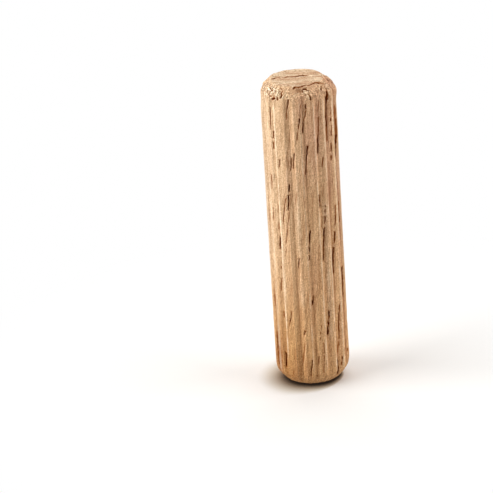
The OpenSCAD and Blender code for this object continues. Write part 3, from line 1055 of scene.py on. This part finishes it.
def vessels(tree, grain, across, along, shift, thickness):
    """Fine pores: cells stretched along the fibres, of which a share has a thin dark core. A
    cell's random colour picks whether it has one and how strong that is."""
    spread = add_node(tree, "Mapping", {"Vector": grain, "Location": (shift, shift, shift),
                                        "Scale": per_mm(across, across, along)})
    distance = add_node(tree, "TexVoronoi", {"Vector": spread, "Scale": 1.0}, "Distance")
    core = add_node(tree, "ValToRGB", {"Fac": distance},
                    stops=[(thickness / 2, 1.0), (thickness, 0.0)])
    pick = add_node(tree, "SeparateColor", {"Color": distance.node.outputs["Color"]}).node.outputs
    has = add_node(tree, "Math", {0: pick["Red"], 1: VESSEL_SHARE}, operation="LESS_THAN")
    most = add_node(tree, "Math", {0: pick["Green"], 1: VESSEL_MOST}, operation="MULTIPLY")
    shown = add_node(tree, "Math", {0: core, 1: has}, operation="MULTIPLY")
    return add_node(tree, "Math", {0: shown, 1: most}, operation="MULTIPLY")


def end_grain_colour(tree, place, colours):
    """Colour of the sawn faces: browner bands across them, and the ends of the pores."""
    band_place = add_node(tree, "Mapping", {"Vector": place, "Scale": per_mm(*BAND_SIZE)})
    bands = add_node(tree, "TexNoise", {"Vector": band_place, **BAND_NOISE})
    dot_place = add_node(tree, "Mapping", {"Vector": place, "Scale": per_mm(*DOT_SIZE)})
    dots = add_node(tree, "TexVoronoi", {"Vector": dot_place, "Scale": 1.0})
    band_share = add_node(tree, "ValToRGB", {"Fac": bands}, stops=RAMPS["bands"])
    dot_share = add_node(tree, "ValToRGB", {"Fac": dots}, stops=RAMPS["dots"])
    return lay(tree, colours.end_grain, [
        (band_share, 0.75, linear("#B47E56"), "MIX"),
        (dot_share, 0.7, colours.end_dots, "MIX"),
    ])


def hardwood(colours, tilt, mask_names):
    """Pale ring-porous hardwood, drawn through a fluting die, sawn and tumbled. The eye sees fine
    streaks along tilted fibres, open dark pores, a dry matt surface with hardly any gloss, crushed
    pale fibres at the bevels and dotted end grain on the faces. Painted light and shade is laid
    over it too: warm bounce and shade towards the foot, sheen at the left and at the edges, shade
    in the flutes' roots and in hollows, and highlights on crests, lips and raised fibres."""
    material = bpy.data.materials.new("hardwood_fluted_and_tumbled")
    material.use_nodes = True
    tree = material.node_tree
    tree.nodes.clear()
    node = functools.partial(add_node, tree)

    place = node("TexCoord", out="Object")
    grain = node("Mapping", {"Vector": place, "Rotation": (0, -tilt, 0)})
    mask = {name: node("Attribute", out="Fac", attribute_name=name) for name in mask_names}
    level = {}
    for name, (across, along, detail, roughness) in NOISES.items():
        spread = node("Mapping", {"Vector": place if name in STRAIGHT else grain,
                                  "Scale": per_mm(across, across, along)})
        level[name] = node("TexNoise", {"Vector": spread, "Scale": 1.0, "Detail": detail,
                                        "Roughness": roughness})

    # The plain wood: streaks, then broad tones along the pin
    streak, patchy, fine = (node("ValToRGB", {"Fac": level[name]}, stops=RAMPS[name])
                            for name in ("streaks", "patches", "fine"))
    height = node("SeparateXYZ", {"Vector": place}, "Z")
    low = node("MapRange", {"Value": height, "From Min": GOLDEN_BOUNCE_FROM * MM,
                            "From Max": GOLDEN_BOUNCE_TO * MM})
    wood = lay(tree, colours.deep, [
        (streak, 1.0, colours.pale, "MIX"),
        (patchy, 0.25, colours.rosy, "MIX"),
        (mask["rosy"], 1.0, colours.rosy, "MIX"),
        (fine, 0.15, colours.deep, "MIX"),
        # Painted warm bounce light and shade: the golden tinge towards the foot
        (low, 1.0, colours.golden_bounce, "MULTIPLY"),
        # Painted shade, a deeper amber, at the foot's left
        (mask["amber"], 1.0, linear("#E6DABF"), "MULTIPLY"),
        # Painted whitish sheen up the lit left side
        (mask["paler"], 0.4, linear("#E9CDA9"), "MIX"),
        # Painted sheen at the pin's edges, and greyer wood round the back
        (mask["dusty"], 1.0, linear("#CDB498"), "MIX"),
        # Brown patches: partly darker wood, partly painted shade at the foot's lower left and in
        # flute walls
        (mask["umber"], 0.85, linear("#874C22"), "MIX"),
        # Painted shade along the flutes' roots
        (mask["stain"], 0.8, colours.thread, "MIX"),
    ])

    # What the die, the saw and the tumbling left: torn fibres, with painted shade where they are
    # ripped in and painted highlight where they stand out; then painted highlights along the crests
    # and on the tops of the flutes' walls
    ripped = node("Math", {0: mask["torn"], 1: mask["shred"]}, operation="MULTIPLY")
    inward = node("Math", {0: ripped, 1: -1.0}, operation="MULTIPLY")
    ripped_in_shade = node("ValToRGB", {"Fac": inward}, stops=RAMPS["ripped_in_shade"])
    ripped_out_highlight = node("ValToRGB", {"Fac": ripped}, stops=RAMPS["ripped_out_highlight"])
    shift = node("MapRange", {"Value": level["ragged"],
                              "From Min": RAGGED_LEVELS[0], "From Max": RAGGED_LEVELS[1],
                              "To Min": -RAGGED_SHIFT, "To Max": RAGGED_SHIFT})
    wall_shift = node("Math", {0: shift, 1: WALL_RAGGED}, operation="MULTIPLY")
    wall_gap = node("Math", {0: mask["root_off"], 1: wall_shift}, operation="ADD")
    wall_top_highlight = node("ValToRGB", {"Fac": wall_gap}, stops=RAMPS["wall_top_highlight"])
    wall_top_highlight = node("Math", {0: wall_top_highlight, 1: mask["lip"]}, operation="MULTIPLY")
    wood = lay(tree, wood, [
        (mask["end_grain"], 1.0, end_grain_colour(tree, place, colours), "MIX"),
        # Painted highlights along the crests
        (mask["crest"], 0.9, linear("#FAE6C8"), "MIX"),
        # Painted shade in the hollow below the head's rim
        (mask["rim_hollow"], 0.9, linear("#916239"), "MIX"),
        # Painted shade in the torn fibres' hollows, and painted highlight on their tops
        (ripped_in_shade, 1.0, linear("#5C3013"), "MIX"),
        (ripped_out_highlight, 1.0, linear("#FBE6C8"), "MIX"),
        # Painted highlight on the tops of the flutes' walls, along their lips
        (wall_top_highlight, 0.35, linear("#EFD3AC"), "MIX"),
        # Pale raised fibres, partly painted highlight
        (mask["raised"], 0.8, linear("#F8DDB6"), "MIX"),
    ])

    # Fine pores along the fibres, and none in the end grain
    threads = node("Math", {i: vessels(tree, grain, *row) for i, row in enumerate(VESSELS)},
                   operation="MAXIMUM")
    off_end = node("Math", {0: 1.0, 1: mask["end_grain"]}, operation="SUBTRACT")
    threads = node("Math", {0: threads, 1: off_end}, operation="MULTIPLY")
    wood = lay(tree, wood, [(threads, 1.0, colours.thread, "MIX")])

    # Tints of the relief: everywhere, but the crumbs only among the torn fibres
    chaff = node("ValToRGB", {"Fac": mask["torn"]}, stops=RAMPS["chaff"])
    for name, (reach, low_tint, high_tint) in TINTS.items():
        share = node("MapRange", {"Value": level[name],
                                  "From Min": 0.5 - reach, "From Max": 0.5 + reach})
        tint = lay(tree, low_tint, [(share, 1.0, high_tint, "MIX")])
        wood = lay(tree, wood, [(chaff if name == "crumbs" else None, 1.0, tint, "MULTIPLY")])

    # Open pores and cracks: brown at their edges and dark at the bottom
    gap = node("Math", {0: mask["pore_off"]}, operation="ABSOLUTE")
    gap = node("Math", {0: gap, 1: shift}, operation="ADD")
    tone = {}
    for name, stops in PORE_TONES.items():
        near, strong, cracked = (node("ValToRGB", {"Fac": source}, stops=each) for source, each
                                 in zip((gap, mask["pore"], mask["cracks"]), stops))
        in_pore = node("Math", {0: near, 1: strong}, operation="MULTIPLY")
        tone[name] = node("Math", {0: in_pore, 1: cracked}, operation="MAXIMUM")
    wood = lay(tree, wood, [
        (tone["brown"], 0.85, colours.thread, "MIX"),
        (tone["dark"], 1.0, colours.pore, "MIX"),
    ])

    rough = node("ValToRGB", {"Fac": level["fine"]}, stops=RAMPS["roughness"])
    fibres = node("Math", {0: level["die_lines"], 1: level["fuzz"]}, operation="ADD")
    sunk = node("Math", {0: threads, 1: THREAD_DEPTH}, operation="MULTIPLY")
    fibres = node("Math", {0: fibres, 1: sunk}, operation="SUBTRACT")
    bump = node("Bump", {"Height": fibres, "Strength": BUMP_STRENGTH,
                         "Distance": BUMP_HEIGHT * MM})
    clean = node("Math", {0: 1.0, 1: tone["brown"]}, operation="SUBTRACT")
    gloss = node("Math", {0: clean, 1: WOOD_GLOSS}, operation="MULTIPLY")
    shader = node("BsdfPrincipled", {"Base Color": wood, "Roughness": rough, "IOR": WOOD_IOR,
                                     "Specular IOR Level": gloss, "Normal": bump})
    node("OutputMaterial", {"Surface": shader})
    return material


# ---------------------------------------------------------------- the stage

WHITE = linear("#FFFFFF")
# Radius of the bench, and the distances from the pin where it starts to fade and is white, in
# millimetres, and the rings and columns of its mesh
BENCH_RADIUS = 3000
BENCH_FADE = (11, 42)
BENCH_RINGS = 8
BENCH_COLUMNS = 64
# The painted contact shadow round the pin's foot, from an ambient-occlusion node, in millimetres: x
# of two places, and its reach at each, which is longer at the left
SHADOW_X = (-3.5, 3.4)
SHADOW_REACH = (3.2, 0.45)
SHADOW_SAMPLES = 16
# The openness where the painted shadow is deepest and where it ends, and its colours between
SHADOW_OPEN = (0.28, 0.93)
SHADOW_STOPS = [
    (0.0, linear("#342719")), (0.4, linear("#A69581")), (0.7, linear("#D3CABC")),
    (1.0, linear("#F4F2EF")),
]
# A little light of the bench's own, so that the shadow isn't black
SHADOW_LIFT = 0.006
# Each lamp: name, the setting that holds its power, angle round the pin and elevation in
# degrees, distance and size in millimetres
LAMPS = [
    ("left_softbox", "key_power", -79, 22, 400, 360),
    ("right_softbox", "fill_power", 79, 22, 400, 360),
    ("top_softbox", "top_power", 175, 65, 450, 400),
]
# The camera's sensor in its own millimetres, and its clipping distances in metres
SENSOR_WIDTH = 36.0
CAMERA_CLIP = (0.01, 10.0)


def bench_finish(colour):
    """White seamless card. Towards the camera it keeps the pin's shadow, deepened by a painted
    contact shadow that an ambient-occlusion node darkens its colour with, and is otherwise as white
    as the surround, into which it fades; the light that it gives the pin comes from its plain
    colour."""
    material = bpy.data.materials.new("white_card")
    material.use_nodes = True
    tree = material.node_tree
    tree.nodes.clear()
    node = functools.partial(add_node, tree)
    place = node("TexCoord", out="Object")
    far = node("VectorMath", {0: place}, "Value", operation="LENGTH")
    fade = node("MapRange", {"Value": far, "From Min": BENCH_FADE[0] * MM,
                             "From Max": BENCH_FADE[1] * MM}, interpolation_type="SMOOTHSTEP")
    x = node("SeparateXYZ", {"Vector": place}, "X")
    # Painted contact shadow: an ambient-occlusion node darkens the card's colour near the pin,
    # further at the left
    reach = node("MapRange", {
        "Value": x, "From Min": SHADOW_X[0] * MM, "From Max": SHADOW_X[1] * MM,
        "To Min": SHADOW_REACH[0] * MM, "To Max": SHADOW_REACH[1] * MM})
    corner = node("AmbientOcclusion", {"Distance": reach}, "AO", samples=SHADOW_SAMPLES)
    corner = node("MapRange", {"Value": corner, "From Min": SHADOW_OPEN[0],
                               "From Max": SHADOW_OPEN[1]})
    shadow = node("ValToRGB", {"Fac": corner}, stops=SHADOW_STOPS)
    card = node("BsdfDiffuse", {"Color": shadow})
    lift = node("Emission", {"Color": WHITE, "Strength": SHADOW_LIFT})
    seen = node("AddShader", {0: card, 1: lift})
    white = node("Emission", {"Color": WHITE, "Strength": 1.0})
    seen = node("MixShader", {0: fade, 1: seen, 2: white})
    plain = node("BsdfDiffuse", {"Color": colour})
    to_camera = node("LightPath", out="Is Camera Ray")
    both = node("MixShader", {0: to_camera, 1: plain, 2: seen})
    node("OutputMaterial", {"Surface": both})
    return material


def round_sheet(radius):
    """A flat disc at the bench's level: radius times a share, turned to an angle."""
    share = np.linspace(0, 1, BENCH_RINGS + 1)[1:, None]
    turn = np.linspace(0, 2 * np.pi, BENCH_COLUMNS, endpoint=False)
    x, y = radius * share * np.cos(turn), radius * share * np.sin(turn)
    points = np.stack([x, y, np.zeros_like(x)], axis=-1).reshape(-1, 3)
    number = np.arange(len(points)).reshape(x.shape)
    beside = np.roll(number, -1, axis=1)
    quads = np.stack([number[:-1], number[1:], beside[1:], beside[:-1]], axis=-1).reshape(-1, 4)
    fan = np.stack([np.full(BENCH_COLUMNS, len(points)), number[0], beside[0]], axis=-1)
    return np.vstack([points, [[0, 0, 0]]]), quads, fan


def add_lamp(name, power, turn, rise, distance, size):
    """A square soft lamp that looks at the pin's middle from an angle and elevation."""
    lamp = bpy.data.lights.new(name, "AREA")
    lamp.energy = power
    lamp.size = size * MM
    made = bpy.data.objects.new(name, lamp)
    turn, rise = math.radians(turn), math.radians(rise)
    away = Vector((math.sin(turn) * math.cos(rise), -math.cos(turn) * math.cos(rise),
                   math.sin(rise)))
    made.location = PIN_MIDDLE + away * (distance * MM)
    made.rotation_euler = away.to_track_quat("Z", "Y").to_euler()
    made.visible_camera = False
    bpy.context.scene.collection.objects.link(made)


def white_surround(sky):
    """The surround: plain white where it is seen, and a weaker even light where it lights."""
    world = bpy.data.worlds.new("white_surround")
    world.use_nodes = True
    tree = world.node_tree
    tree.nodes.clear()
    node = functools.partial(add_node, tree)
    ray = node("LightPath").node.outputs
    seen = node("Math", {0: ray["Is Camera Ray"], 1: ray["Is Glossy Ray"]}, operation="MAXIMUM")
    seen = node("Math", {0: seen, 1: ray["Is Transmission Ray"]}, operation="MAXIMUM")
    lights = node("Background", {"Color": WHITE, "Strength": sky})
    shows = node("Background", {"Color": WHITE, "Strength": 1.0})
    node("OutputWorld", {"Surface": node("MixShader", {0: seen, 1: lights, 2: shows})})
    return world


def bench_camera(stage):
    """The camera, which looks down on the pin's front, turned about its own axis and moved in
    its own plane, so that the pin stands off the frame's centre."""
    lens = bpy.data.cameras.new("bench_camera")
    lens.lens = stage.camera_lens
    lens.sensor_width = SENSOR_WIDTH
    lens.clip_start, lens.clip_end = CAMERA_CLIP
    camera = bpy.data.objects.new("bench_camera", lens)
    rise = stage.camera_rise
    back = Vector((0, -math.cos(rise), math.sin(rise)))
    level = Matrix((Vector((1, 0, 0)), Vector((0, math.sin(rise), math.cos(rise))), back))
    turn = level.transposed() @ Matrix.Rotation(stage.camera_roll, 3, "Z")
    right, up = turn.col[0], turn.col[1]
    place = (PIN_MIDDLE - right * stage.pin_right - up * stage.pin_up
             + back * stage.camera_distance)
    camera.matrix_world = Matrix.Translation(place) @ turn.to_4x4()
    bpy.context.scene.collection.objects.link(camera)
    return camera


# ---------------------------------------------------------------- operators and panel


class OBJECT_OT_dowel_pin(Operator):
    """Build the fluted pin in place of its plain solid"""

    bl_idname = "object.dowel_pin_add"
    bl_label = "Dowel pin"

    def execute(self, context):
        sizes = context.scene.dowel_sizes
        points, quads, fans, masks = dowel_surface(sizes)
        pin = new_mesh_object("dowel_wood", points, quads, fans)
        for name, values in masks.items():
            if len(values) != len(pin.data.vertices):
                raise RuntimeError(f"mask {name} doesn't fit the pin's mesh")
            give_attribute(pin, name, values)
        pin.data.materials.append(hardwood(context.scene.dowel_colours, sizes.grain_tilt, masks))
        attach(pin, "root")
        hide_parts("dowel")
        return {"FINISHED"}


class SCENE_OT_bench_stage(Operator):
    """Set up the white bench, the three soft lamps, the surround and the camera"""

    bl_idname = "scene.dowel_stage_add"
    bl_label = "Bench, lamps and camera"

    def execute(self, context):
        scene = context.scene
        stage = scene.dowel_stage
        floor = new_mesh_object("bench", *round_sheet(BENCH_RADIUS))
        floor.data.materials.append(bench_finish(stage.bench))
        for name, power, *placing in LAMPS:
            add_lamp(name, getattr(stage, power), *placing)
        scene.world = white_surround(stage.sky)
        scene.camera = bench_camera(stage)
        scene.view_settings.view_transform = "Standard"
        return {"FINISHED"}


class VIEW3D_PT_dowel_pin(Panel):
    """The pin's sizes and colours, its stage and the buttons that build them"""

    bl_label = "Dowel pin"
    bl_idname = "VIEW3D_PT_dowel_pin"
    bl_space_type = "VIEW_3D"
    bl_region_type = "UI"
    bl_category = "Dowel pin"

    def draw(self, context):
        for name in GROUPS:
            group = getattr(context.scene, name)
            box = self.layout.box()
            for setting in group.__annotations__:
                box.prop(group, setting)
        for operator in OPERATORS:
            self.layout.operator(operator.bl_idname)


OPERATORS = (OBJECT_OT_dowel_pin, SCENE_OT_bench_stage)
GROUPS = {"dowel_sizes": DowelSizes, "dowel_colours": DowelColours, "dowel_stage": StageSettings}
CLASSES = (*GROUPS.values(), *OPERATORS, VIEW3D_PT_dowel_pin)


def register():
    """Registers the classes and hangs the settings on the scene."""
    for made in CLASSES:
        bpy.utils.register_class(made)
    for name, group in GROUPS.items():
        setattr(bpy.types.Scene, name, PointerProperty(type=group))


def unregister():
    """Takes the settings off the scene and the classes out again."""
    for name in GROUPS:
        delattr(bpy.types.Scene, name)
    for made in reversed(CLASSES):
        bpy.utils.unregister_class(made)


def main():
    """Registers the classes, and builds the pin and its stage."""
    register()
    bpy.ops.object.dowel_pin_add()
    bpy.ops.scene.dowel_stage_add()


if __name__ == "__main__":
    main()
